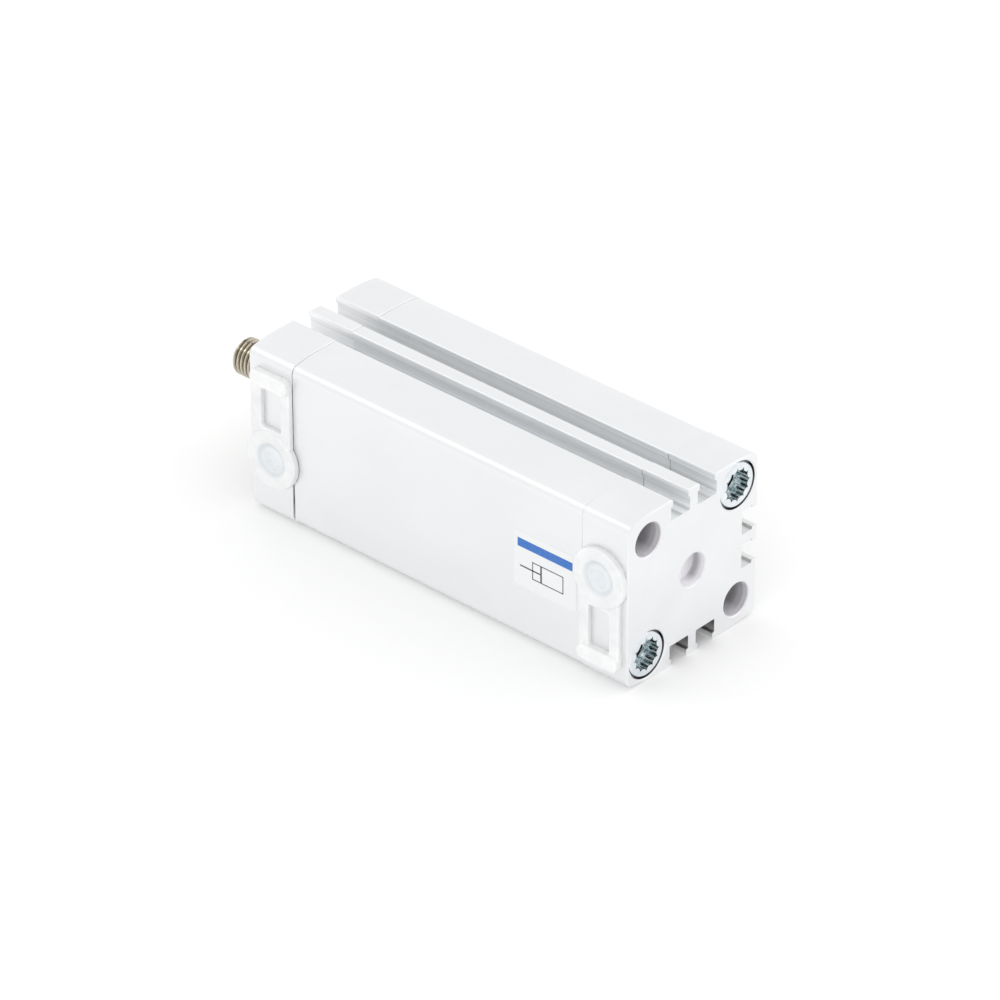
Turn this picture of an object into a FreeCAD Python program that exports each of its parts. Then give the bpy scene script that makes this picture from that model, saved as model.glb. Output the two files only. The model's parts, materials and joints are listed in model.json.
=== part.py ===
import FreeCAD, Part
import math
import os

# Compact pneumatic cylinder, shown with its piston retracted and its two transport plugs in.
# Millimetres. X runs along the piston rod, positive the way the rod extends, and starts at the end
# cap's outer face. Z is up, and both air ports face +Y.

V = FreeCAD.Vector
ORIGIN = V(0, 0, 0)
ROD_AXIS = V(1, 0, 0)
PORT_AXIS = V(0, 1, 0)

# Working sizes
STROKE = 80.0
BORE_R = 16.0
ROD_R = 6.0

# Section of the body, with two T-slots in the top, the far side and the bottom
SLOT_WALL = 1.85          # aluminium left between a slot's floor and the bore
SLOT_DEPTH = 5.65         # from the caps' faces to a slot's floor
SLOT_OPENING = 5.5
SLOT_UNDERCUT = 0.65      # on each side, behind the lip
SLOT_LIP = 1.9            # thickness of the lip
SLOT_LIP_ROUND = 0.4
SLOT_LIP_BREAK = 0.2      # bevel of the lip's inner edge
RIB_WIDTH = 4.1           # rib between the two slots of one side
CORNER_FILLET = 2.5
CROWN_RADIUS = 40.0       # shallow crown that eases the top and the bottom into the corners
CROWN_WIDTH = 9.5         # from the side to where the crown meets the flat
CORNER_INSET = 7.25       # of the four corner holes from the sides
BARREL_STEP = 0.15        # how much the barrel stands back from the caps on every side
EDGE_BREAK = 0.3
SEAM_BREAK = 0.15         # fine bevels that make the joint line between barrel and cap

# Caps
CAP_LENGTH = 14.5
SPIGOT_LENGTH = 3.0       # pilot of each cap in the bore
SPIGOT_CLEARANCE = 0.03
RECESS_R = 13.0           # end-position recess inside each cap
CAP_RING_SECTION = 1.2    # thickness of the O-ring on the pilot
CAP_RING_PLAY = 0.2       # of that O-ring along its groove, on each side
CENTRING_R = 4.5
CENTRING_DEPTH = 4.0
BEARING_BOSS_WALL = 3.5   # of the boss round the rod bush
AIR_POCKET_DEPTH = 3.0    # ring pocket round that boss, which the front port opens into

# Ports
PORT_R = 4.4              # tap drill of the G1/8 thread
PORT_INSET = 8.2          # from each outer end face
PORT_OFFSET = 6.0         # sideways, away from the nearest collar screw
PORT_MOUTH = 0.5          # bevel of the thread's mouth
PORT_BREAK = 1.5          # how deep the port runs into the recess

# Collar screws, which clamp the caps and offer a thread of their own
SCREW_THREAD_R = 5.0
SCREW_THREAD_DEPTH = 0.5
SCREW_THREAD_CLEARANCE = 0.03
SCREW_ENGAGEMENT = 12.0
SCREW_TAP_RUNOUT = 2.0
SCREW_HEAD_R = 6.15
SCREW_HEAD_LENGTH = 8.0
SCREW_HEAD_SUNK = 0.3
SCREW_HEAD_CLEARANCE = 0.25
SCREW_SHANK_CLEARANCE = 0.25
SCREW_BEVEL = 0.5
SCREW_BORE_R = 2.5        # tap drill of the inner M6 thread
STAR_R = 4.7              # points of the socket
STAR_POINTS = 12
STAR_POINT_HEIGHT = 0.85  # of the points over the rounded lands between them
STAR_DEPTH = 3.5

# Rod bearing and rod
RUNNING_CLEARANCE = 0.02
BUSH_WALL = 1.0
BUSH_SET_BACK = 0.2
ROD_SEAL_WALL = 3.0
ROD_SEAL_DEPTH = 5.0
ROD_SEAL_PLAY = 0.2
ROD_SEAL_LIP = 1.3        # height of the sealing lip and the wiper lip
ROD_SHOULDER = 6.0        # rod in front of the bearing cap when retracted
ROD_FLAT_DEPTH = 1.0
ROD_FLAT_LENGTH = 4.5
ROD_BEVEL = 0.5
ROD_THREAD_R = 5.0
ROD_THREAD_LENGTH = 19.0
ROD_THREAD_BEVEL = 0.9
ROD_RELIEF_LENGTH = 1.5
ROD_RELIEF_DEPTH = 0.9
ROD_SPIGOT_R = 4.0        # stepped-down rear end that carries the piston

# Piston, in two halves clamped on the rod
PISTON_FIT = 0.02
PISTON_GAP = 0.4          # between the piston's flanges and the bore
PISTON_FLANGE = 0.8
PISTON_WEB = 0.6
PACKING_PLAY = 0.05       # of the seals and the guide ring in their grooves
PACKING_CLEARANCE = 0.03  # of the seals and the guide ring in the bore
SEAL_WIDTH = 1.8
SEAL_HEIGHT = 3.4
SEAL_HEEL = 0.8           # solid back of a seal, before its two lips part
SEAL_LIP = 1.1
SEAL_LEAN = 0.5           # how far the outer lip leans away from the bore at the heel
GUIDE_WIDTH = 2.1
GUIDE_HEIGHT = 1.8
GUIDE_SLIT = 0.8
MAGNET_WIDTH = 3.0
MAGNET_HEIGHT = 3.0
MAGNET_COVER = 1.7        # piston wall between magnet and guide ring
MAGNET_PLAY = 0.05
HUB_R = 11.0
FRONT_HUB = 2.2
REAR_HUB = 6.0
END_PLAY = 0.1            # left at each end of the stroke
CUSHION_LENGTH = 2.4
CUSHION_SKIRT = 1.6       # grip of a cushion ring on its hub
CUSHION_GAP = 0.5         # to the recess round it
CUSHION_BORE_R = 8.4
CUSHION_NOTCH = 2.0       # width of the air notches in its face
CUSHION_NOTCH_DEPTH = 0.8
CUSHION_NOTCHES = 4
PISTON_RING_SECTION = 1.2
NUT_ACROSS_FLATS = 13.0
NUT_LENGTH = 4.0
NUT_BEVEL = 0.6
NUT_STICK_OUT = 1.0       # rod end behind the nut
WASHER_R = 7.5
WASHER_LENGTH = 1.2
NUT_WELL_DEPTH = 4.5
NUT_WELL_CLEARANCE = 0.5

# Transport plugs
PLUG_FLANGE_R = 8.1
PLUG_FLANGE = 1.6
PLUG_RIM_ROUND = 0.5
PLUG_SEAT = 0.05          # under the flange
PLUG_STEM_GAP = 0.2
PLUG_STEM_LENGTH = 7.0
PLUG_RIB_GAP = 0.05       # between the gripping ribs and the port
PLUG_RIBS = 3
PLUG_RIB_PITCH = 1.8
PLUG_RIB_WIDTH = 0.6
PLUG_WALL = 1.1
PLUG_LEAD = 0.5           # bevel of the stem's inner end, which its hollow opens to
PLUG_DISH_R = 5.0         # shallow dish in the flange's face
PLUG_DISH_FLOOR_R = 3.55
PLUG_DISH_DEPTH = 0.5
PLUG_MEMBRANE = 1.0       # thickness left between the dish and the hollow stem
TAB_WIDTH = 12.7
TAB_REACH = 24.6          # from the port's axis to the tab's end
TAB_THICKNESS = 1.2
TAB_LIFT = 0.3            # of the tab off the cap's side
TAB_CORNER = 2.0
TAB_RAIL = 3.1            # width of the side rails
TAB_GAP = 0.6             # from the flange to the window
TAB_BAR = 4.4             # end bar
TAB_BAR_THICKNESS = 2.0
TAB_BAR_ROUND = 0.6
TAB_WINDOW_CORNER = 0.6

# How far cutting shapes run past the faces that they open
CUT_PAST = 1.0
TOLERANCE = 1e-6

# Sizes that follow
BODY_HALF = BORE_R + SLOT_WALL + SLOT_DEPTH
CORNER = BODY_HALF - CORNER_INSET
CORNER_HOLE_R = SCREW_THREAD_R - SCREW_THREAD_DEPTH
SLOT_CENTRE = (RIB_WIDTH + SLOT_OPENING) / 2
SEAL_GROOVE = SEAL_WIDTH + 2 * PACKING_PLAY
GUIDE_SEAT = GUIDE_WIDTH + 2 * PACKING_PLAY
PISTON_LAND = 2 * (PISTON_FLANGE + SEAL_GROOVE + PISTON_WEB) + GUIDE_SEAT
BARREL_LENGTH = STROKE + PISTON_LAND + 2 * (SPIGOT_LENGTH + END_PLAY)
BODY_LENGTH = BARREL_LENGTH + 2 * CAP_LENGTH
SPIGOT_END = CAP_LENGTH + SPIGOT_LENGTH
SPIGOT_R = BORE_R - SPIGOT_CLEARANCE
REAR_RECESS = REAR_HUB + CUSHION_LENGTH
FRONT_RECESS = FRONT_HUB + CUSHION_LENGTH
PISTON_MIDDLE = SPIGOT_END + END_PLAY + PISTON_LAND / 2
HUB_REAR_END = PISTON_MIDDLE - PISTON_LAND / 2 - REAR_HUB
HUB_FRONT_END = PISTON_MIDDLE + PISTON_LAND / 2 + FRONT_HUB
SEAL_ROOT_R = BORE_R - SEAL_HEIGHT
GUIDE_ROOT_R = BORE_R - GUIDE_HEIGHT
MAGNET_R = GUIDE_ROOT_R - MAGNET_COVER
BUSH_BORE_R = ROD_R + RUNNING_CLEARANCE
BUSH_R = BUSH_BORE_R + BUSH_WALL
ROD_SEAL_R = ROD_R + ROD_SEAL_WALL
SCREW_SEAT = SCREW_HEAD_SUNK + SCREW_HEAD_LENGTH
NUT_WELL_R = max(WASHER_R, NUT_ACROSS_FLATS / math.sqrt(3)) + NUT_WELL_CLEARANCE
PORT_END = math.sqrt(RECESS_R ** 2 - PORT_OFFSET ** 2) - PORT_BREAK


def turned(outline):
    """A solid turned about the rod's axis from (x, radius) corners."""
    corners = [V(x, 0, radius) for x, radius in outline]
    corners.append(corners[0])
    return Part.Face(Part.makePolygon(corners)).revolve(ORIGIN, ROD_AXIS, 360)


def bar(x_start, x_end, radius, y=0.0, z=0.0):
    """A round bar parallel to the rod."""
    return Part.makeCylinder(radius, x_end - x_start, V(x_start, y, z), ROD_AXIS)


def tube(x_start, x_end, inner, outer):
    """A plain sleeve round the rod's axis."""
    return turned([(x_start, inner), (x_end, inner), (x_end, outer), (x_start, outer)])


def bevelled_mouth(x, radius, depth, y, z):
    """A cutter for the bevel round a hole's mouth in the face at x, opening towards -X."""
    return Part.makeCone(radius + depth + CUT_PAST, radius, depth + CUT_PAST, V(x - CUT_PAST, y, z), ROD_AXIS)


def at_front(shape):
    """The shape moved from the rear end to the front end, as seen in a mirror."""
    return shape.mirror(V(BODY_LENGTH / 2, 0, 0), ROD_AXIS)


def diagonal(product):
    """The axes (y, z) of the two corner holes whose y times z has the sign of product."""
    return [(CORNER, product * CORNER), (-CORNER, -product * CORNER)]


def body_outline(half):
    """The body's section: flat sides, tight corner fillets, and crowns easing into the top and bottom."""
    lean = math.asin((CROWN_WIDTH - CORNER_FILLET) / (CROWN_RADIUS - CORNER_FILLET))
    flat = half - CROWN_WIDTH
    crown_z = half - CROWN_RADIUS
    fillet_y = half - CORNER_FILLET
    fillet_z = crown_z + (CROWN_RADIUS - CORNER_FILLET) * math.cos(lean)

    def arc(centre_y, centre_z, radius, start, end, y_sign, z_sign):
        points = []
        for angle in (start, (start + end) / 2, end):
            y = centre_y + radius * math.sin(angle)
            z = centre_z + radius * math.cos(angle)
            points.append(V(0, y_sign * y, z_sign * z))
        return Part.Arc(*points).toShape()

    edges = []
    for sign in (1, -1):
        edges.append(Part.makeLine(V(0, sign * half, -fillet_z), V(0, sign * half, fillet_z)))
        edges.append(Part.makeLine(V(0, -flat, sign * half), V(0, flat, sign * half)))
        for z_sign in (1, -1):
            edges.append(arc(flat, crown_z, CROWN_RADIUS, 0, lean, sign, z_sign))
            edges.append(arc(fillet_y, fillet_z, CORNER_FILLET, lean, math.pi / 2, sign, z_sign))
    return Part.Wire(Part.__sortEdges__(edges))


def body_block(x_start, length, half, start_break, end_break):
    """A length of the body's section with its two end edges broken."""
    section = Part.Face(body_outline(half))
    section.translate(V(x_start, 0, 0))
    block = section.extrude(V(length, 0, 0))
    for x, size in ((x_start, start_break), (x_start + length, end_break)):
        rim = [edge for edge in block.Edges if all(abs(v.X - x) < TOLERANCE for v in edge.Vertexes)]
        block = block.makeChamfer(size, rim)
    return block


def slot_section(half):
    """One T-slot in the top, centred on y = 0, with rounded lips and open past the face at z = half."""
    floor = BODY_HALF - SLOT_DEPTH
    under = half - SLOT_LIP
    mouth = SLOT_OPENING / 2
    inner = mouth + SLOT_UNDERCUT
    flare = mouth + SLOT_LIP_ROUND
    shoulder = half - SLOT_LIP_ROUND
    bevel_z = under + SLOT_LIP_BREAK
    bevel_y = mouth + SLOT_LIP_BREAK
    above = half + CUT_PAST
    bow = SLOT_LIP_ROUND * (1 - math.sqrt(0.5))

    def lip(sign):
        start = V(0, sign * mouth, shoulder)
        middle = V(0, sign * (mouth + bow), half - bow)
        return Part.Arc(start, middle, V(0, sign * flare, half)).toShape()

    left = [(-mouth, shoulder), (-mouth, bevel_z), (-bevel_y, under), (-inner, under), (-inner, floor)]
    right = [(-y, z) for y, z in reversed(left)]
    below = Part.makePolygon([V(0, y, z) for y, z in left + right])
    top = [(flare, half), (flare, above), (-flare, above), (-flare, half)]
    over = Part.makePolygon([V(0, y, z) for y, z in top])
    return Part.Wire(Part.__sortEdges__(below.Edges + over.Edges + [lip(1), lip(-1)]))


def slot_cutters(x_start, length, half):
    """The six T-slots: two in the top, two in the far side and two in the bottom."""
    cutters = []
    for turn in (0, 90, 180):
        for side in (1, -1):
            cutter = Part.Face(slot_section(half)).extrude(V(length + 2 * CUT_PAST, 0, 0))
            cutter.translate(V(x_start - CUT_PAST, side * SLOT_CENTRE, 0))
            cutter.rotate(ORIGIN, ROD_AXIS, turn)
            cutters.append(cutter)
    return cutters


def barrel():
    """The extruded barrel, with tapped corner channels that take one collar screw each."""
    half = BODY_HALF - BARREL_STEP
    front = CAP_LENGTH + BARREL_LENGTH
    tapped = SCREW_ENGAGEMENT + SCREW_TAP_RUNOUT
    thread_r = SCREW_THREAD_R + SCREW_THREAD_CLEARANCE
    cutters = slot_cutters(CAP_LENGTH, BARREL_LENGTH, half)
    cutters.append(bar(CAP_LENGTH - CUT_PAST, front + CUT_PAST, BORE_R))
    for y, z in diagonal(1) + diagonal(-1):
        cutters.append(bar(CAP_LENGTH - CUT_PAST, front + CUT_PAST, CORNER_HOLE_R, y, z))
    for y, z in diagonal(-1):
        cutters.append(bar(CAP_LENGTH - CUT_PAST, CAP_LENGTH + tapped, thread_r, y, z))
    for y, z in diagonal(1):
        cutters.append(bar(front - tapped, front + CUT_PAST, thread_r, y, z))
    return body_block(CAP_LENGTH, BARREL_LENGTH, half, SEAM_BREAK, SEAM_BREAK).cut(cutters)


def port_cutters(z):
    """The tapped air port from the +Y side into the recess, with its bevelled mouth."""
    hole = Part.makeCylinder(PORT_R, BODY_HALF + CUT_PAST - PORT_END, V(PORT_INSET, PORT_END, z), PORT_AXIS)
    mouth_base = V(PORT_INSET, BODY_HALF - PORT_MOUTH, z)
    mouth_height = PORT_MOUTH + CUT_PAST
    mouth = Part.makeCone(PORT_R, PORT_R + mouth_height, mouth_height, mouth_base, PORT_AXIS)
    return [hole, mouth]


def cap(recess_depth, screw_sign):
    """What both caps share, with the outer face at x = 0 and the screws on the diagonal of screw_sign."""
    block = body_block(0, CAP_LENGTH, BODY_HALF, EDGE_BREAK, SEAM_BREAK)
    ring_middle = CAP_LENGTH + SPIGOT_LENGTH / 2
    ring_half = CAP_RING_SECTION / 2 + CAP_RING_PLAY
    pilot = bar(CAP_LENGTH - CUT_PAST, SPIGOT_END, SPIGOT_R)
    head_r = SCREW_HEAD_R + SCREW_HEAD_CLEARANCE
    shank_r = SCREW_THREAD_R + SCREW_SHANK_CLEARANCE
    cutters = slot_cutters(0, CAP_LENGTH, BODY_HALF)
    cutters.append(bar(SPIGOT_END - recess_depth, SPIGOT_END + CUT_PAST, RECESS_R))
    cutters.append(tube(ring_middle - ring_half, ring_middle + ring_half, BORE_R - CAP_RING_SECTION, BORE_R))
    for y, z in diagonal(screw_sign):
        cutters.append(bar(-CUT_PAST, SCREW_SEAT, head_r, y, z))
        cutters.append(bar(-CUT_PAST, CAP_LENGTH + CUT_PAST, shank_r, y, z))
        cutters.append(bevelled_mouth(0, head_r, EDGE_BREAK, y, z))
    for y, z in diagonal(-screw_sign):
        cutters.append(bar(-CUT_PAST, CAP_LENGTH + CUT_PAST, CORNER_HOLE_R, y, z))
        cutters.append(bevelled_mouth(0, CORNER_HOLE_R, EDGE_BREAK, y, z))
    cutters += port_cutters(-screw_sign * PORT_OFFSET)
    return block.fuse(pilot).removeSplitter().cut(cutters)


def end_cap():
    """The rear cap, with the centring bore in its outer face."""
    centring = bar(-CUT_PAST, CENTRING_DEPTH, CENTRING_R)
    mouth = bevelled_mouth(0, CENTRING_R, EDGE_BREAK, 0, 0)
    return cap(REAR_RECESS, -1).cut([centring, mouth])


def bearing_cap():
    """The front cap, with seats for the rod bush and the rod seal, and an air pocket round the boss."""
    recess_floor = SPIGOT_END - FRONT_RECESS
    boss_r = BUSH_R + BEARING_BOSS_WALL
    pocket = tube(recess_floor - AIR_POCKET_DEPTH, recess_floor + CUT_PAST, boss_r, RECESS_R)
    bush_seat = bar(-CUT_PAST, recess_floor + CUT_PAST, BUSH_R)
    seal_seat = bar(-CUT_PAST, ROD_SEAL_DEPTH, ROD_SEAL_R)
    mouth = bevelled_mouth(0, ROD_SEAL_R, EDGE_BREAK, 0, 0)
    return at_front(cap(FRONT_RECESS, 1).cut([pocket, bush_seat, seal_seat, mouth]))


def cap_o_ring():
    """The static seal in the groove of the rear cap's pilot."""
    middle = V(CAP_LENGTH + SPIGOT_LENGTH / 2, 0, 0)
    return Part.makeTorus(BORE_R - CAP_RING_SECTION / 2, CAP_RING_SECTION / 2, middle, ROD_AXIS)


def star_socket():
    """A cutter for the socket in a collar screw's head: sharp points with rounded lands between them."""
    land_r = STAR_R - STAR_POINT_HEIGHT
    half_step = math.pi / STAR_POINTS

    def corner(radius, angle):
        return V(-CUT_PAST, radius * math.cos(angle), radius * math.sin(angle))

    lands = []
    for step in range(STAR_POINTS):
        start = 2 * half_step * step
        ends = corner(STAR_R, start), corner(STAR_R, start + 2 * half_step)
        lands.append(Part.Arc(ends[0], corner(land_r, start + half_step), ends[1]).toShape())
    return Part.Face(Part.Wire(lands)).extrude(V(CUT_PAST + SCREW_HEAD_SUNK + STAR_DEPTH, 0, 0))


def collar_screw(y, z):
    """A collar screw of the rear cap: outer thread in the barrel, inner thread for mounting."""
    top = SCREW_HEAD_SUNK
    tip = CAP_LENGTH + SCREW_ENGAGEMENT
    screw = turned([
        (top, SCREW_BORE_R),
        (top, SCREW_HEAD_R - SCREW_BEVEL),
        (top + SCREW_BEVEL, SCREW_HEAD_R),
        (SCREW_SEAT, SCREW_HEAD_R),
        (SCREW_SEAT, SCREW_THREAD_R),
        (tip - SCREW_BEVEL, SCREW_THREAD_R),
        (tip, SCREW_THREAD_R - SCREW_BEVEL),
        (tip, SCREW_BORE_R),
    ]).cut(star_socket())
    screw.translate(V(0, y, z))
    return screw


def rod_bush():
    """The plain bearing between the rod seal's seat and the recess, in rear-end coordinates."""
    return tube(ROD_SEAL_DEPTH, SPIGOT_END - FRONT_RECESS - BUSH_SET_BACK, BUSH_BORE_R, BUSH_R)


def rod_seal():
    """The combined seal and wiper, in rear-end coordinates: the wiper lip is at the outer face."""
    outer = ROD_SEAL_PLAY
    inner = ROD_SEAL_DEPTH - ROD_SEAL_PLAY
    waist_r = BUSH_BORE_R + ROD_SEAL_LIP
    return turned([
        (outer, waist_r),
        (outer, BUSH_BORE_R),
        (outer + ROD_SEAL_PLAY, BUSH_BORE_R),
        (outer + ROD_SEAL_LIP, waist_r),
        (inner - ROD_SEAL_LIP, waist_r),
        (inner - ROD_SEAL_PLAY, BUSH_BORE_R),
        (inner, BUSH_BORE_R),
        (inner, ROD_SEAL_R),
        (outer + ROD_SEAL_PLAY, ROD_SEAL_R),
        (outer, ROD_SEAL_R - ROD_SEAL_PLAY),
    ])


def piston_rod():
    """The rod: stepped end for the piston, shaft, wrench flats, relief and the blank of the end thread."""
    shoulder = BODY_LENGTH + ROD_SHOULDER
    tip = shoulder + ROD_THREAD_LENGTH
    relief_end = shoulder + ROD_RELIEF_LENGTH
    relief_r = ROD_THREAD_R - ROD_RELIEF_DEPTH
    rear = HUB_REAR_END + NUT_WELL_DEPTH - WASHER_LENGTH - NUT_LENGTH - NUT_STICK_OUT
    rod = turned([
        (rear, 0),
        (rear, ROD_SPIGOT_R - ROD_BEVEL),
        (rear + ROD_BEVEL, ROD_SPIGOT_R),
        (HUB_FRONT_END, ROD_SPIGOT_R),
        (HUB_FRONT_END, ROD_R),
        (shoulder - ROD_BEVEL, ROD_R),
        (shoulder, ROD_R - ROD_BEVEL),
        (shoulder, relief_r),
        (relief_end, relief_r),
        (relief_end + ROD_RELIEF_DEPTH, ROD_THREAD_R),
        (tip - ROD_THREAD_BEVEL, ROD_THREAD_R),
        (tip, ROD_THREAD_R - ROD_THREAD_BEVEL),
        (tip, 0),
    ])
    flats = []
    for side in (1, -1):
        flat = Part.makeBox(ROD_FLAT_LENGTH, 2 * ROD_R, ROD_R)
        centre_z = side * (ROD_R - ROD_FLAT_DEPTH + ROD_R / 2)
        flat.translate(V(shoulder - ROD_FLAT_LENGTH, -ROD_R, centre_z - ROD_R / 2))
        flats.append(flat)
    return rod.cut(flats)


def piston_half(direction, hub_length, seat_r, seat_depth):
    """One half of the piston, built away from the split along direction.

    seat_r and seat_depth size the well in the end of its hub. The well is the nut's in the rear half.
    """
    bore_r = ROD_SPIGOT_R + PISTON_FIT
    flange_r = BORE_R - PISTON_GAP
    pocket = MAGNET_WIDTH / 2 + MAGNET_PLAY
    seat_end = GUIDE_SEAT / 2
    web_end = seat_end + PISTON_WEB
    groove_end = web_end + SEAL_GROOVE
    land_end = PISTON_LAND / 2
    hub_end = land_end + hub_length
    outline = [
        (0, bore_r),
        (0, MAGNET_R - MAGNET_HEIGHT),
        (pocket, MAGNET_R - MAGNET_HEIGHT),
        (pocket, MAGNET_R + MAGNET_PLAY),
        (0, MAGNET_R + MAGNET_PLAY),
        (0, GUIDE_ROOT_R),
        (seat_end, GUIDE_ROOT_R),
        (seat_end, flange_r),
        (web_end, flange_r),
        (web_end, SEAL_ROOT_R),
        (groove_end, SEAL_ROOT_R),
        (groove_end, flange_r),
        (land_end, flange_r),
        (land_end, HUB_R),
        (hub_end, HUB_R),
        (hub_end, seat_r),
        (hub_end - seat_depth, seat_r),
        (hub_end - seat_depth, bore_r),
    ]
    return turned([(PISTON_MIDDLE + direction * distance, radius) for distance, radius in outline])


def piston_rear_half():
    """The rear half, with the well for nut and washer and a seat for the O-ring on the rod."""
    half = piston_half(-1, REAR_HUB, NUT_WELL_R, NUT_WELL_DEPTH)
    ring_r = ROD_SPIGOT_R + PISTON_FIT + PISTON_RING_SECTION + PISTON_FIT
    seat = bar(PISTON_MIDDLE - PISTON_RING_SECTION - PISTON_FIT, PISTON_MIDDLE + CUT_PAST, ring_r)
    return half.cut(seat)


def piston_front_half():
    """The front half, whose hub the rod's shoulder bears on."""
    lead_in = PISTON_FIT
    return piston_half(1, FRONT_HUB, ROD_SPIGOT_R + lead_in + ROD_BEVEL, ROD_BEVEL)


def piston_o_ring():
    """The static seal between rod and piston, in its seat at the split."""
    radius = PISTON_RING_SECTION / 2
    middle = V(PISTON_MIDDLE - radius - PISTON_FIT / 2, 0, 0)
    return Part.makeTorus(ROD_SPIGOT_R + PISTON_FIT + radius, radius, middle, ROD_AXIS)


def piston_magnet():
    """The ring magnet that the slot sensors read."""
    half = MAGNET_WIDTH / 2
    return tube(PISTON_MIDDLE - half, PISTON_MIDDLE + half, MAGNET_R - MAGNET_HEIGHT + MAGNET_PLAY, MAGNET_R)


def piston_guide_ring():
    """The split wear ring that carries the piston in the bore."""
    half = GUIDE_WIDTH / 2
    outer = BORE_R - PACKING_CLEARANCE
    ring = tube(PISTON_MIDDLE - half, PISTON_MIDDLE + half, GUIDE_ROOT_R + PACKING_PLAY, outer)
    slit = Part.makeBox(2 * GUIDE_WIDTH, GUIDE_SLIT, BORE_R)
    slit.translate(V(PISTON_MIDDLE - GUIDE_WIDTH, -GUIDE_SLIT / 2, 0))
    return ring.cut(slit)


def piston_seal(direction):
    """A lip seal with its notch towards the pressure side, on the given side of the split."""
    root_r = SEAL_ROOT_R + PACKING_PLAY
    lip_r = BORE_R - PACKING_CLEARANCE
    heel = GUIDE_SEAT / 2 + PISTON_WEB + PACKING_PLAY
    mouth = heel + SEAL_WIDTH
    outline = [
        (heel, root_r),
        (heel, lip_r - SEAL_LEAN),
        (mouth, lip_r),
        (mouth, lip_r - SEAL_LIP),
        (heel + SEAL_HEEL, (root_r + lip_r) / 2),
        (mouth, root_r + SEAL_LIP),
        (mouth, root_r),
    ]
    return turned([(PISTON_MIDDLE + direction * distance, radius) for distance, radius in outline])


def cushion_ring(hub_end, direction):
    """An elastic end pad gripping the hub, with air notches across its face."""
    outer = RECESS_R - CUSHION_GAP
    face = hub_end + direction * CUSHION_LENGTH
    skirt = hub_end - direction * CUSHION_SKIRT
    grip_r = HUB_R + PISTON_FIT
    ring = turned([
        (hub_end, CUSHION_BORE_R),
        (face, CUSHION_BORE_R),
        (face, outer),
        (skirt, outer),
        (skirt, grip_r),
        (hub_end, grip_r),
    ])
    notches = []
    for step in range(CUSHION_NOTCHES):
        notch = Part.makeBox(2 * CUSHION_NOTCH_DEPTH, CUSHION_NOTCH, outer + CUT_PAST)
        notch.translate(V(face - CUSHION_NOTCH_DEPTH, -CUSHION_NOTCH / 2, 0))
        notch.rotate(ORIGIN, ROD_AXIS, step * 360 / CUSHION_NOTCHES)
        notches.append(notch)
    return ring.cut(notches)


def piston_washer():
    """The plain washer on the floor of the rear half's well."""
    floor = HUB_REAR_END + NUT_WELL_DEPTH
    return tube(floor - WASHER_LENGTH, floor, ROD_SPIGOT_R + PISTON_FIT, WASHER_R)


def piston_nut():
    """The thin hexagon nut, with its corners bevelled on the outer face."""
    seat = HUB_REAR_END + NUT_WELL_DEPTH - WASHER_LENGTH
    corner_r = NUT_ACROSS_FLATS / math.sqrt(3)
    back = seat - NUT_LENGTH
    corners = []
    for step in range(7):
        angle = math.radians(60 * step)
        corners.append(V(back, corner_r * math.cos(angle), corner_r * math.sin(angle)))
    prism = Part.Face(Part.makePolygon(corners)).extrude(V(NUT_LENGTH, 0, 0))
    envelope = turned([
        (back, ROD_SPIGOT_R + PISTON_FIT),
        (back, NUT_ACROSS_FLATS / 2),
        (back + NUT_BEVEL, corner_r + CUT_PAST),
        (seat, corner_r + CUT_PAST),
        (seat, ROD_SPIGOT_R + PISTON_FIT),
    ])
    return prism.common(envelope)


def rounded_plate(x_half, z_start, z_end, y_start, thickness, corner):
    """A plate standing parallel to the port side, centred on x = 0, with its four corners rounded."""
    plate = Part.makeBox(2 * x_half, thickness, z_end - z_start, V(-x_half, y_start, z_start))
    upright = [edge for edge in plate.Edges if abs(edge.Vertexes[0].Y - edge.Vertexes[1].Y) > TOLERANCE]
    return plate.makeFillet(corner, upright)


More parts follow.
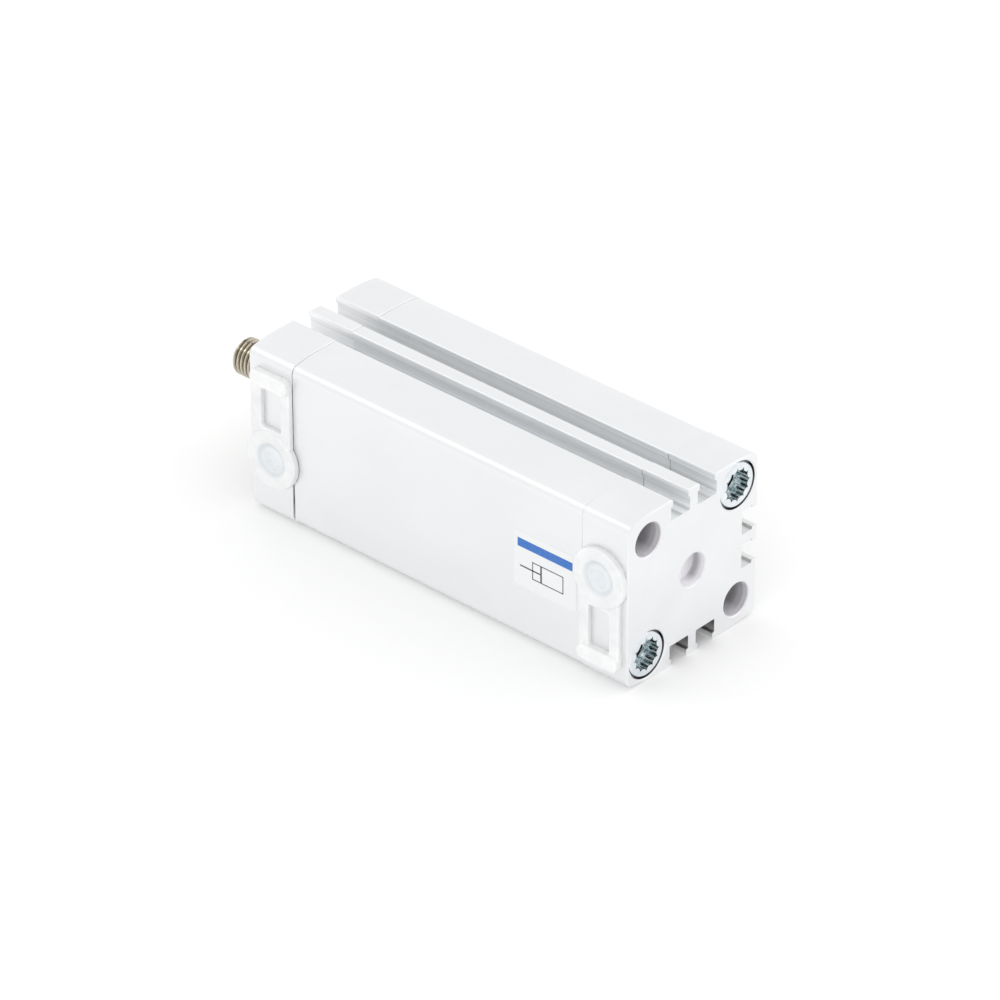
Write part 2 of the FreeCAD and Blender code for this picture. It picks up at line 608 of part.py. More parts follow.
def port_plug():
    """A transport plug on the port's axis, with y = 0 on the cap's side and its tab towards +Z."""
    stem_r = PORT_R - PLUG_STEM_GAP
    rib_r = PORT_R - PLUG_RIB_GAP
    hollow_r = stem_r - PLUG_WALL
    seat = PLUG_SEAT
    face = seat + PLUG_FLANGE
    tip = -PLUG_STEM_LENGTH
    shoulder = tip + PLUG_LEAD
    stem = Part.makeCone(stem_r - PLUG_LEAD, stem_r, PLUG_LEAD, V(0, tip, 0), PORT_AXIS)
    stem = stem.fuse(Part.makeCylinder(stem_r, seat - shoulder, V(0, shoulder, 0), PORT_AXIS))
    for step in range(PLUG_RIBS):
        rib_y = shoulder + (step + 0.5) * PLUG_RIB_PITCH
        stem = stem.fuse(Part.makeCylinder(rib_r, PLUG_RIB_WIDTH, V(0, rib_y, 0), PORT_AXIS))
    flange = Part.makeCylinder(PLUG_FLANGE_R, PLUG_FLANGE, V(0, seat, 0), PORT_AXIS)
    rim = [edge for edge in flange.Edges if len(edge.Vertexes) == 1 and edge.Vertexes[0].Y > seat + TOLERANCE]
    flange = flange.makeFillet(PLUG_RIM_ROUND, rim)
    bar_start = TAB_REACH - TAB_BAR
    tab = rounded_plate(TAB_WIDTH / 2, 0, TAB_REACH, TAB_LIFT, TAB_THICKNESS, TAB_CORNER)
    window_half = TAB_WIDTH / 2 - TAB_RAIL
    window_start = PLUG_FLANGE_R + TAB_GAP
    window = rounded_plate(window_half, window_start, bar_start, 0, 2 * TAB_BAR_THICKNESS, TAB_WINDOW_CORNER)
    grip = rounded_plate(TAB_WIDTH / 2, bar_start, TAB_REACH, TAB_LIFT, TAB_BAR_THICKNESS, TAB_CORNER)
    grip_top = TAB_LIFT + TAB_BAR_THICKNESS
    grip_rim = [edge for edge in grip.Edges if all(v.Y > grip_top - TOLERANCE for v in edge.Vertexes)]
    grip = grip.makeFillet(TAB_BAR_ROUND, grip_rim)
    dish_floor = face - PLUG_DISH_DEPTH
    ceiling = dish_floor - PLUG_MEMBRANE
    hollow = Part.makeCylinder(hollow_r, ceiling - tip + CUT_PAST, V(0, tip - CUT_PAST, 0), PORT_AXIS)
    flare = (PLUG_DISH_R - PLUG_DISH_FLOOR_R) / PLUG_DISH_DEPTH
    dish_height = PLUG_DISH_DEPTH + CUT_PAST
    dish_top_r = PLUG_DISH_R + flare * CUT_PAST
    dish = Part.makeCone(PLUG_DISH_FLOOR_R, dish_top_r, dish_height, V(0, dish_floor, 0), PORT_AXIS)
    return stem.fuse([flange, tab.cut(window), grip]).cut([hollow, dish]).removeSplitter()


def placed_plug(at_rear):
    """The plug in the rear port with its tab down, or in the front port with its tab up."""
    plug = port_plug()
    if at_rear:
        plug.rotate(ORIGIN, PORT_AXIS, 180)
        plug.translate(V(PORT_INSET, BODY_HALF, PORT_OFFSET))
    else:
        plug.translate(V(BODY_LENGTH - PORT_INSET, BODY_HALF, -PORT_OFFSET))
    return plug


def pieces():
    """Every piece of the cylinder by its name."""
    named = {
        "barrel": barrel(),
        "end_cap": end_cap(),
        "bearing_cap": bearing_cap(),
        "rear_cap_o_ring": cap_o_ring(),
        "front_cap_o_ring": at_front(cap_o_ring()),
        "rod_bush": at_front(rod_bush()),
        "rod_seal": at_front(rod_seal()),
        "piston_rod": piston_rod(),
        "piston_front_half": piston_front_half(),
        "piston_rear_half": piston_rear_half(),
        "piston_o_ring": piston_o_ring(),
        "piston_magnet": piston_magnet(),
        "piston_guide_ring": piston_guide_ring(),
        "piston_seal_front": piston_seal(1),
        "piston_seal_rear": piston_seal(-1),
        "cushion_ring_front": cushion_ring(HUB_FRONT_END, 1),
        "cushion_ring_rear": cushion_ring(HUB_REAR_END, -1),
        "piston_washer": piston_washer(),
        "piston_nut": piston_nut(),
        "front_port_plug": placed_plug(False),
        "rear_port_plug": placed_plug(True),
    }
    for y, z in diagonal(-1):
        named["rear_collar_screw_" + ("upper" if z > 0 else "lower")] = collar_screw(y, z)
    for y, z in diagonal(1):
        named["front_collar_screw_" + ("upper" if z > 0 else "lower")] = at_front(collar_screw(y, z))
    return named


os.makedirs("parts", exist_ok=True)
for name, shape in pieces().items():
    if not shape.isValid() or len(shape.Solids) != 1:
        raise ValueError(name + " is not one sound solid")
    shape.Solids[0].exportStep(os.path.join("parts", name + ".step"))
    print(f"{name}: {shape.Volume:.1f} cubic mm")
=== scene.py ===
import json
import math
import bpy
from mathutils import Matrix, Vector


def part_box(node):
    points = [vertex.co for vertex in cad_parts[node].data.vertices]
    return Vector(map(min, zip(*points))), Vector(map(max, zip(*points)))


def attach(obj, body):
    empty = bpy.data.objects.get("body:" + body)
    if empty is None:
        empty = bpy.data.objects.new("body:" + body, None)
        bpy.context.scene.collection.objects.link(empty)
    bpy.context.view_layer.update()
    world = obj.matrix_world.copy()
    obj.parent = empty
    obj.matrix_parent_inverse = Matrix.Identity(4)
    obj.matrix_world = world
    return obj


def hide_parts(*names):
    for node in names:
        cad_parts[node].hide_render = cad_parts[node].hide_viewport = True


# Looks of a compact pneumatic cylinder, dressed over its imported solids. Metres, in the solids' own
# frame: X runs along the piston rod, Z is up and both air ports face +Y.

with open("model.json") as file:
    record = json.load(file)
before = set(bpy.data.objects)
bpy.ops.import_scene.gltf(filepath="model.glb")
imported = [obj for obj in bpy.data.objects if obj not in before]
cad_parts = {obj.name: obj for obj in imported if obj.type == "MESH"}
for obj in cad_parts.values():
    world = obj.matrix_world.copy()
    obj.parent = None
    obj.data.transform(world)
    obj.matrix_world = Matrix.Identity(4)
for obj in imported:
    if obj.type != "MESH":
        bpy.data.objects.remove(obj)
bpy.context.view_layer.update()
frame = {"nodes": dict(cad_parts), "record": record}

MM = 0.001
NODES = frame["nodes"]
MOUNTS = {mount["name"]: mount for mount in frame["record"]["mounts"]}
CAP_LOW, CAP_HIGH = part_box("end_cap")
BARREL_LOW, BARREL_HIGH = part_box("barrel")
FRONT_LOW, FRONT_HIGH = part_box("bearing_cap")
ROD_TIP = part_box("piston_rod")[1].x
FLOOR_LEVEL = CAP_LOW.z
PORT_SIDE = CAP_HIGH.y
BARREL_SIDE = BARREL_HIGH.y
CORNER = MOUNTS["rear_free_hole_upper"]["pos_m"][2]

# Camera, found from the corners, holes and seams in the photograph
CAMERA_PLACE = Vector((-0.874633, 1.026230, 0.873246))
CAMERA_AZIMUTH = 222.393
CAMERA_ELEVATION = 32.340
CAMERA_ROLL = -0.208
CAMERA_LENS = 242.38
CAMERA_SENSOR = 36.0
CAMERA_CLIP_END = 50.0

# Light: an even white room, two small softboxes high on the left and high behind on the right, a large
# soft fill beside the camera, and a large panel behind that throws the shadow towards the camera
SOFTBOX_DISTANCE = 0.8
LEFT_DIRECTION = Vector((0.544, 0.420, 0.727))
LEFT_SIZE = 0.22
LEFT_POWER = 0.2
RIGHT_DIRECTION = Vector((-0.408, -0.639, 0.652))
RIGHT_SIZE = 0.3
RIGHT_POWER = 0.2
PANEL_DISTANCE = 1.5
PANEL_SIZE = 1.0
FILL_DIRECTION = Vector((-0.45, 0.80, 0.40))
FILL_POWER = 3.2
BACK_DIRECTION = Vector((-0.20, -0.78, 0.60))
BACK_POWER = 0.6
WHITE = (1.0, 1.0, 1.0, 1.0)
FLOOR_SIZE = 12.0
FLOOR_LIGHT = 1.02         # light on the open floor at which it comes out just white
FLOOR_BOUNCE = 0.92        # floor's brightness as other surfaces see it by diffuse light
SHADOW_SHARE = 0.90        # of the floor's brightness that comes from the lights, for the camera
GLOSS_SHARE = 0.75         # the same, in reflections

# Threads, each with the share of the pitch that its crests keep flat and the depth of its groove
ROD_PITCH = 1.25 * MM
ROD_THREAD_R = 5.0 * MM
ROD_THREAD_LENGTH = 17.6 * MM
ROD_CREST = 0.28
ROD_GROOVE = 0.48 * ROD_PITCH
INNER_PITCH = 1.0 * MM
INNER_MINOR_R = 2.46 * MM
INNER_CREST = 0.25
INNER_GROOVE = 0.54 * INNER_PITCH
PORT_PITCH = 0.907 * MM
PORT_R = 4.4 * MM
PORT_THREAD_LENGTH = 9.0 * MM
PORT_CREST = 0.3
PORT_GROOVE = 0.42 * MM
FLANK = math.tan(math.radians(30))
THREAD_STEPS = 40          # in one turn
CUT_PAST = 0.06            # of a pitch, by which a thread's groove runs past the crests

# Collar screws, measured from the outer face of their cap
SOCKET_FLOOR = 3.8 * MM
SCREW_TIP = 26.5 * MM

# Transport plugs, with height 0 at the cap's side and the tab towards +Z
FLANGE_R = 8.1 * MM
FLANGE_FACE = 1.65 * MM
FLANGE_UNDER = -0.01 * MM  # pressed onto the cap, with no gap to see
FLANGE_RIM = 0.55 * MM
FLANGE_UNDER_RIM = 0.08 * MM
STEM_R = 4.2 * MM
STEM_LENGTH = 7.0 * MM
STEM_LEAD = 0.5 * MM
HOLLOW_R = 3.1 * MM
STEM_RIBS = 3
RIB_R = 4.35 * MM
RIB_PITCH = 1.8 * MM
RIB_WIDTH = 0.6 * MM
RIB_FLAT = (0.3, 0.7)      # shares of a rib's width between which it has its full height
DISH_R = 4.9 * MM
DISH_FLOOR_R = 4.1 * MM
DISH_DEPTH = 0.7 * MM
DISH_ROUND = 0.25 * MM
DISH_EASE = 0.12 * MM      # from each end of the dish's wall to where it runs straight
DISH_EASE_LOW = 0.08 * MM  # height of the lower of these places above the dish's floor
DISH_EASE_HIGH = 0.05 * MM     # depth of the upper one below the flange's face
BOSS_R = 2.4 * MM
BOSS_FOOT_R = 2.75 * MM
BOSS_FOOT_HEIGHT = 0.06 * MM
BOSS_HEIGHT = 0.75 * MM    # above the dish's floor
BOSS_ROUND = 0.35 * MM
BOSS_LEAN = 15             # degrees, where its rounded top runs into its side
MEMBRANE = 1.0 * MM
GATE_R = 0.5 * MM          # gate mark in the boss
GATE_WALL_R = 0.4 * MM
GATE_WALL_DEPTH = 0.14 * MM
GATE_FLOOR_R = 0.15 * MM
GATE_DEPTH = 0.2 * MM
TAB_START = 5.2 * MM
TAB_INSET = 0.03 * MM      # of the tab's sides within the grip's, and of its back past the grip's
TAB_REACH = 24.6 * MM
TAB_HALF = 6.35 * MM
TAB_RAIL = 3.1 * MM
TAB_GAP = 0.6 * MM
TAB_LIFT = -0.01 * MM
TAB_FACE = 1.3 * MM
TAB_CORNER = 2.0 * MM
TAB_ROUND = 0.35 * MM
TAB_ROUND_STEPS = 3
WINDOW_CORNER = 0.7 * MM
GRIP_LENGTH = 4.4 * MM
GRIP_FACE = 2.3 * MM
GRIP_ROUND = 0.75 * MM
GRIP_ROUND_STEPS = 5
TURN_SIDES = 96

# Sticker on the port side of the barrel, as (lowest x, highest x, lowest z, highest z)
LABEL_EDGES = (16.4 * MM, 36.4 * MM, -8.0 * MM, 7.5 * MM)
LABEL_THICKNESS = 0.06 * MM
LABEL_CORNER = 0.6 * MM
PRINT_THICKNESS = 0.012 * MM

# Print on the sticker, with edges in the same order but in millimetres: a band, and a cylinder's symbol
STRIPE = (17.6, 35.2, 3.2, 5.6)
SYMBOL_TUBE = (20.5, 30.5, -4.6, 0.4)
SYMBOL_LINE = 0.28
SYMBOL_PISTON = (27.4, 27.9, -4.4, 0.2)
SYMBOL_ROD = (27.9, 34.4, -2.3, -1.9)

# Seam at the front cap, which opens a hair's breadth towards the bottom
SEAM_TOP_WIDTH = 0.02 * MM
SEAM_BOTTOM_WIDTH = 0.42 * MM
SEAM_DEPTH = 0.9 * MM

# Meshes
MERGE_DISTANCE = 1e-6
FLAT_ANGLE = math.radians(0.2)
METAL_SMOOTH = 28          # degrees up to which an edge is shaded smooth
PLUG_SMOOTH = 40
CORNER_STEPS = 8
ARC_STEPS = 6
UNDER_RIM_STEPS = 2

# Places that the finishes tell apart, in millimetres as the shaders see them
SLOT_REACH = 8.4           # from the middle of a side past both of its slots
SLOT_SKIN = 0.4            # rounding of the slots' lips
END_SKIN = 0.05            # of the end faces
SEAM_SHADE_WIDTH = 0.17           # width of the painted shade along the barrel's rear seam
SHELTERED = 12.0           # from the axis, past which the lower and far slots lie
FRONT_LIGHT_SPAN = (106.0, 116.0)    # along the axis, between which painted light makes the upper slots paler
LOW_SLOT_SHADE = (-23.0, -19.0)  # heights between which painted shade darkens the lower slots towards the floor
CENTRE_R = 4.7             # just outside the centring bore
CENTRE_END = 5.0           # just past its floor
CENTRE_FLOOR = 3.9         # just before its floor
CENTRE_RING = 2.9          # depth of the ring of painted shade on its wall
CENTRE_RING_FADE = (0.3, 1.8)  # from the ring, between which it fades
CENTRE_GLOW = (-4.0, 2.0)  # across its floor, between which that gets brighter
HOLE_R = 4.75              # just outside a free corner hole
HOLE_SHADE = (0.5, 4.5)    # depths between which painted shade darkens it
LIT_WALL = (1.0, 4.4)      # down and towards the ports, between which the wall of a bore gets brighter
LIT_LEAN = 0.9             # share of the way towards the ports in that
WELL_WALL = (6.3, 6.45)    # on both sides of a counterbore's wall
WELL_START = 0.3           # depth at which the painted shadow on that wall starts
FINE_MARKS = 0.45          # pitch of the tool marks in the bores
WIDE_MARKS = 1.7           # and of the wider ones
SOCKET_R = 5.4             # just outside a screw's socket
SOCKET_START = 0.42        # depth below the end face, past the face of a screw's head
ROD_SHADE = (4.45, 4.98)   # radii from the roots, in painted shade, to the crests of the rod's thread
BOSS_SHADE = (2.2, 2.7)    # radii between which the colour of a plug changes at its boss
GROOVE_SHADE = (2.9, 3.9)  # in the dish round the boss
THIN_SHADE = (4.1, 5.0)    # at the edge of the dish
GRIP_LIGHT = (17.0, 20.0)  # on the way to the grip, which painted light makes whiter

# Share of the metal that a dull film hides in the recesses
SLOT_FILM = 0.55
FRONT_LIGHT_DULLING = 0.4      # added where painted light makes the upper slots paler
HOLE_FILM = 0.75
CENTRE_FILM = 0.9

FRONT_SLOT_LIGHT = 0.55      # painted light in the upper slots at the front end
MARK_SHADE = 0.4           # of the wide tool marks
STREAKS = (0.003, 1.1, 1.1)    # drawing lines in the slots, in waves per millimetre
NOISE_LOW = 0.3            # between these most of a noise lies
NOISE_HIGH = 0.7
COOL = (0.98, 1.0, 1.015)
PALE = (0.99, 1.0, 1.01)
LILAC = (1.0, 0.985, 1.02)


# Shader trees

class Wire:
    """One output of a shader tree. Python's arithmetic on it adds Math nodes."""

    def __init__(self, tree, socket):
        self.tree = tree
        self.socket = socket

    def maths(self, operation, first, second=0.0):
        return self.tree.add("ShaderNodeMath", {"operation": operation}, {0: first, 1: second})

    def __add__(self, other):
        return self.maths("ADD", self, other)

    def __radd__(self, other):
        return self.maths("ADD", other, self)

    def __sub__(self, other):
        return self.maths("SUBTRACT", self, other)

    def __rsub__(self, other):
        return self.maths("SUBTRACT", other, self)

    def __mul__(self, other):
        return self.maths("MULTIPLY", self, other)

    def __rmul__(self, other):
        return self.maths("MULTIPLY", other, self)

    def __abs__(self):
        return self.maths("ABSOLUTE", self)

    def __lt__(self, other):
        return self.maths("LESS_THAN", self, other)

    def __gt__(self, other):
        return self.maths("GREATER_THAN", self, other)

    def larger(self, other):
        return self.maths("MAXIMUM", self, other)

    def smaller(self, other):
        return self.maths("MINIMUM", self, other)

    def wave(self, length):
        """A sine of this value with that wavelength, from 0 to 1."""
        return 0.5 + 0.5 * self.maths("SINE", self * (2 * math.pi / length))


class ShaderTree:
    """A node tree under construction, with one method that adds any node to it."""

    def __init__(self, tree):
        self.tree = tree
        tree.nodes.clear()

    def add(self, kind, settings=None, inputs=None, output=0):
        """Adds a node with these settings, and constants or wires as inputs. Gives one of its outputs."""
        node = self.tree.nodes.new(kind)
        for name, value in (settings or {}).items():
            setattr(node, name, value)
        for key, value in (inputs or {}).items():
            if isinstance(value, Wire):
                self.tree.links.new(value.socket, node.inputs[key])
            else:
                node.inputs[key].default_value = value
        return Wire(self, node.outputs[output]) if node.outputs else None

    def place(self, scale=(1.0, 1.0, 1.0)):
        """Object coordinates in millimetres, times scale."""
        coordinates = self.add("ShaderNodeTexCoord", output="Object")
        per_mm = tuple(factor / MM for factor in scale)
        return self.add("ShaderNodeMapping", None, {"Vector": coordinates, "Scale": per_mm})

    def axes(self):
        """The object coordinates X, Y and Z in millimetres."""
        place = self.place()
        return [self.add("ShaderNodeSeparateXYZ", None, {"Vector": place}, axis) for axis in "XYZ"]

    def depth(self):
        """Millimetres below the nearer of the body's two end faces."""
        x = self.axes()[0]
        return x.smaller(FRONT_HIGH.x / MM - x)

    def from_corner(self):
        """Y and Z in millimetres from the nearest of the four corner holes' axes."""
        corner = CORNER / MM
        return [place - corner * (2.0 * (place > 0.0) - 1.0) for place in self.axes()[1:]]

    def noise(self, scale, detail=2.0, roughness=0.5):
        """Noise about 0.5, with scale in waves per millimetre along X, Y and Z."""
        inputs = {"Vector": self.place(scale), "Scale": 1.0, "Detail": detail, "Roughness": roughness}
        return self.add("ShaderNodeTexNoise", None, inputs, "Fac")

    def spread(self, value, low=NOISE_LOW, high=NOISE_HIGH):
        """The value stretched so that low to high becomes 0 to 1."""
        inputs = {"Value": value, "From Min": low, "From Max": high}
        return self.add("ShaderNodeMapRange", {"clamp": True}, inputs)

    def ring(self, square, radii):
        """A squared distance stretched so that the two radii become 0 and 1."""
        inner, outer = radii
        return self.spread(square, inner ** 2, outer ** 2)

    def blend(self, share, first, second):
        """A colour from first to second as share goes from 0 to 1."""
        start, end = [value if isinstance(value, Wire) else (*value, 1.0) for value in (first, second)]
        return self.add("ShaderNodeMix", {"data_type": "RGBA"}, {0: share, 6: start, 7: end}, 2)

    def bump(self, height, depth):
        """A normal that follows height from 0 to 1 over depth metres."""
        return self.add("ShaderNodeBump", None, {"Strength": 1.0, "Distance": depth, "Height": height})

    def surface(self, inputs):
        """Ends the tree in a Principled shader with these socket values."""
        shader = self.add("ShaderNodeBsdfPrincipled", None, inputs, "BSDF")
        self.add("ShaderNodeOutputMaterial", None, {"Surface": shader})


def new_material(name):
    """An empty material and its tree."""
    material = bpy.data.materials.new(name)
    material.use_nodes = True
    return material, ShaderTree(material.node_tree)


def grey(level, tint=(1.0, 1.0, 1.0)):
    return tuple(level * share for share in tint)


# Finishes

def slot_mask(tree, half):
    """1 inside the T-slots of a body with that half width, and 0 on its skin and end faces."""
    x, y, z = tree.axes()
    skin = half / MM - SLOT_SKIN
    between = (x > END_SKIN) * (x < FRONT_HIGH.x / MM - END_SKIN)
    upper_lower = (abs(y) < SLOT_REACH) * (abs(z) < skin)
    sides = (abs(z) < SLOT_REACH) * (abs(y) < skin)
    return between * upper_lower.larger(sides)


def anodised_face(tree, unevenness):
    """The colour of the clear-anodised skin."""
    return tree.blend(tree.spread(unevenness), grey(0.860, PALE), grey(0.895, PALE))


def anodised_barrel():
    """Clear-anodised extrusion: satin faces, faint drawing lines, duller lined slots, painted shade at
    the rear seam.
    """
    material, tree = new_material("anodised_barrel")
    x = tree.axes()[0]
    in_slot = slot_mask(tree, BARREL_SIDE)
    # Painted shade of the rear seam: a faint dark line on the faces and a dark gap line in the slots
    seam = x < BARREL_LOW.x / MM + SEAM_SHADE_WIDTH
    lines = tree.noise((0.004, 3.2, 3.2), 4.0, 0.7)
    fine = tree.noise((0.03, 9.0, 9.0), 2.0)
    cloud = tree.noise((0.035, 0.06, 0.06), 3.0)
    face = anodised_face(tree, 0.7 * cloud + 0.3 * lines)
    streaks = tree.spread(0.4 * lines + 0.6 * tree.noise(STREAKS, 3.0, 0.6), 0.36, 0.64)
    slot = tree.blend(streaks, grey(0.66, COOL), grey(0.98, COOL))
    seam_shade = tree.blend(in_slot, grey(0.78), grey(0.25))
    tree.surface({
        "Base Color": tree.blend(seam, tree.blend(in_slot, face, slot), seam_shade),
        "Metallic": 1.0 - SLOT_FILM * in_slot,
        "Roughness": 0.36 + 0.10 * (fine - 0.5) + 0.12 * in_slot,
        "Normal": tree.bump(0.6 * lines + 0.4 * fine, 0.004 * MM),
    })
    return material


def anodised_cap():
    """Clear-anodised machined cap: an even fine grain, duller slots, tool marks in its bores, and painted
    shade and light in both.
    """
    material, tree = new_material("anodised_cap")
    x, y, z = tree.axes()
    depth = tree.depth()
    in_slot = slot_mask(tree, PORT_SIDE)
    in_centre = (y * y + z * z < CENTRE_R ** 2) * (x < CENTRE_END)
    on_centre_floor = in_centre * (x > CENTRE_FLOOR)
    below = z < -SHELTERED
    away = below.larger(y < -SHELTERED)
    corner_y, corner_z = tree.from_corner()
    from_corner = corner_y * corner_y + corner_z * corner_z
    in_hole = from_corner < HOLE_R ** 2
    well_inner, well_outer = WELL_WALL
    on_well_wall = (from_corner > well_inner ** 2) * (from_corner < well_outer ** 2)
    in_well_shade = on_well_wall * (depth > WELL_START)
    marks = x.wave(FINE_MARKS)
    grain = tree.noise((7.0, 7.0, 7.0), 3.0, 0.6)
    face = anodised_face(tree, tree.noise((0.06, 0.06, 0.06), 3.0))
    lit = grey(0.99, LILAC)

    streaks = tree.spread(tree.noise(STREAKS, 3.0, 0.6), 0.38, 0.62)
    upper_slot = tree.blend(streaks, grey(0.63, COOL), grey(0.99, COOL))
    # Painted light, paler towards the open front end of the upper slots
    front = FRONT_SLOT_LIGHT * tree.spread(x, *FRONT_LIGHT_SPAN)
    upper_slot = tree.blend(front, upper_slot, grey(0.99))
    # Painted shade, darker towards the floor in the lower slots
    lower_slot_shade = tree.blend(tree.spread(z, *LOW_SLOT_SHADE), grey(0.80), grey(0.22))
    slot = tree.blend(below, tree.blend(away, upper_slot, grey(0.84)), lower_slot_shade)

    # Painted shade deeper in the corner holes, and painted light on their lower wall towards the ports
    hole = tree.blend(tree.spread(depth, *HOLE_SHADE), grey(0.90, LILAC), grey(0.43, LILAC))
    hole = tree.blend(MARK_SHADE * x.wave(WIDE_MARKS), hole, grey(0.45, LILAC))
    hole = tree.blend(tree.spread(LIT_LEAN * corner_y - corner_z, *LIT_WALL), hole, lit)

    # Painted shade in a ring on the centring bore's wall, and painted light on its wall and floor towards
    # the ports
    ring = tree.spread(abs(x - CENTRE_RING), *CENTRE_RING_FADE)
    centre_wall = tree.blend(ring, grey(0.42), grey(0.80, LILAC))
    centre_wall = tree.blend(tree.spread(LIT_LEAN * y - z, *LIT_WALL), centre_wall, lit)
    centre_floor = tree.blend(tree.spread(y - z, *CENTRE_GLOW), grey(0.88, LILAC), lit)
    centre = tree.blend(on_centre_floor, centre_wall, centre_floor)

    colour = tree.blend(in_hole, tree.blend(in_slot, face, slot), hole)
    # Painted shadow of the gap round each screw's head, on the counterbore's wall
    colour = tree.blend(in_well_shade, colour, grey(0.22, LILAC))
    slot_film = in_slot * (1.0 - away) * (SLOT_FILM + FRONT_LIGHT_DULLING * front)
    tree.surface({
        "Base Color": tree.blend(in_centre, colour, centre),
        "Metallic": 1.0 - slot_film - HOLE_FILM * in_hole - CENTRE_FILM * in_centre,
        "Roughness": 0.38 + 0.10 * (grain - 0.5) + 0.1 * in_slot,
        "Normal": tree.bump(0.25 * grain + in_hole.larger(in_centre) * marks, 0.012 * MM),
    })
    return material


def zinc_steel():
    """Bright zinc plate with a blue cast and slight clouding, with painted shade and glints in the
    screws' sockets.
    """
    material, tree = new_material("zinc_steel")
    across, upward = tree.from_corner()
    in_socket = (across * across + upward * upward < SOCKET_R ** 2) * (tree.depth() > SOCKET_START)
    cloud = tree.spread(tree.noise((0.35, 0.35, 0.35), 3.0, 0.6))
    socket_glints = tree.spread(tree.noise((0.8, 0.8, 0.8), 3.0, 0.6), 0.38, 0.62)
    grain = tree.noise((4.0, 4.0, 4.0), 3.0, 0.6)
    head = tree.blend(cloud, (0.74, 0.79, 0.83), (0.87, 0.895, 0.915))
    # Painted shade in the sockets, mottled with painted glints
    socket = tree.blend(socket_glints, (0.38, 0.46, 0.48), (0.88, 0.92, 0.93))
    tree.surface({
        "Base Color": tree.blend(in_socket, head, socket),
        "Metallic": 1.0,
        "Roughness": 0.15 + 0.14 * (grain - 0.5),
        "Normal": tree.bump(grain, 0.006 * MM),
    })
    return material


def stainless():
    """Rolled stainless steel with fine turning lines round it, and painted shade in the roots of the
    thread.
    """
    material, tree = new_material("stainless")
    x, y, z = tree.axes()
    on_thread = x > (ROD_TIP - ROD_THREAD_LENGTH) / MM
    crest = tree.ring(y * y + z * z, ROD_SHADE)
    lines = tree.noise((14.0, 0.25, 0.25), 3.0, 0.6)
    cloud = tree.spread(tree.noise((0.05, 0.12, 0.12), 2.0))
    shaft = tree.blend(cloud, (0.57, 0.545, 0.50), (0.60, 0.575, 0.53))
    # Painted shade in the roots of the thread, lighter at its crests
    thread = tree.blend(crest, (0.25, 0.22, 0.165), (0.62, 0.57, 0.47))
    tree.surface({
        "Base Color": tree.blend(on_thread, shaft, thread),
        "Metallic": 1.0,
        "Roughness": 0.17 - 0.06 * on_thread + 0.06 * (lines - 0.5),
        "Normal": tree.bump(lines, 0.001 * MM),
    })
    return material


def plug_plastic(name, port):
    """Translucent polyethylene with a soft moulded skin, greyer in the dish, and with painted light on
    the grip.
    """
    material, tree = new_material(name)
    x, _, z = tree.axes()
    across = x - port[0] / MM
    upward = z - port[2] / MM
    from_port = across * across + upward * upward
    skin = tree.noise((1.6, 1.6, 1.6), 3.0, 0.6)
    cloud = tree.spread(tree.noise((0.25, 0.25, 0.25), 2.0))
    sheet = tree.blend(cloud, (0.875, 0.89, 0.895), (0.90, 0.91, 0.915))
    grip = tree.blend(cloud, (0.94, 0.95, 0.953), (0.965, 0.97, 0.97))
    # Painted light: the grip, which stands off the cap, is whiter than the flange and tab
    outside = tree.blend(tree.ring(from_port, GRIP_LIGHT), sheet, grip)
    in_groove = tree.ring(from_port, GROOVE_SHADE)
    dish = tree.blend(in_groove, (0.885, 0.91, 0.925), (0.77, 0.805, 0.83))
    dish = tree.blend(tree.ring(from_port, BOSS_SHADE), (0.80, 0.835, 0.86), dish)
    tree.surface({
        "Base Color": tree.blend(tree.ring(from_port, THIN_SHADE), dish, outside),
        "Roughness": 0.40 + 0.12 * (skin - 0.5),
        "IOR": 1.5,
        "Alpha": 0.90 + 0.06 * (cloud - 0.5),
        "Subsurface Weight": 0.5,
        "Subsurface Radius": (1.0, 1.0, 1.0),
        "Subsurface Scale": 0.35 * MM,
        "Normal": tree.bump(skin, 0.012 * MM),
    })
    return material


def turned_alloy():
    """Plain turned aluminium with fine tool lines."""
    material, tree = new_material("turned_alloy")
    lines = tree.noise((9.0, 0.4, 0.4), 3.0)
    tree.surface({
        "Base Color": tree.blend(lines, (0.62, 0.63, 0.64), (0.76, 0.77, 0.78)),
        "Metallic": 1.0,
        "Roughness": 0.30 + 0.16 * (lines - 0.5),
        "Normal": tree.bump(lines, 0.008 * MM),
    })
    return material


def sintered(name, dark, light, metallic, roughness):
    """A pressed or sintered grain: bonded magnet or bearing bronze."""
    material, tree = new_material(name)
    grain = tree.noise((5.0, 5.0, 5.0), 5.0, 0.7)
    tree.surface({
        "Base Color": tree.blend(tree.spread(grain), dark, light),
        "Metallic": metallic,
        "Roughness": roughness + 0.2 * (grain - 0.5),
        "Normal": tree.bump(grain, 0.015 * MM),
    })
    return material


def moulded(name, dark, light, roughness):
    """A moulded rubber or plastic skin with a faint orange-peel surface."""
    material, tree = new_material(name)
    skin = tree.noise((2.2, 2.2, 2.2), 4.0, 0.6)
    tree.surface({
        "Base Color": tree.blend(tree.spread(skin), dark, light),
        "Roughness": roughness + 0.14 * (skin - 0.5),
        "Normal": tree.bump(skin, 0.010 * MM),
    })
    return material


def label_paper():
    """White coated sticker paper."""
    material, tree = new_material("label_paper")
    fibre = tree.noise((1.2, 1.2, 1.2), 4.0, 0.6)
    tree.surface({
        "Base Color": tree.blend(tree.spread(fibre), (0.80, 0.81, 0.815), (0.82, 0.83, 0.835)),
        "Roughness": 0.46 + 0.1 * (fibre - 0.5),
        "Normal": tree.bump(fibre, 0.004 * MM),
    })
    return material


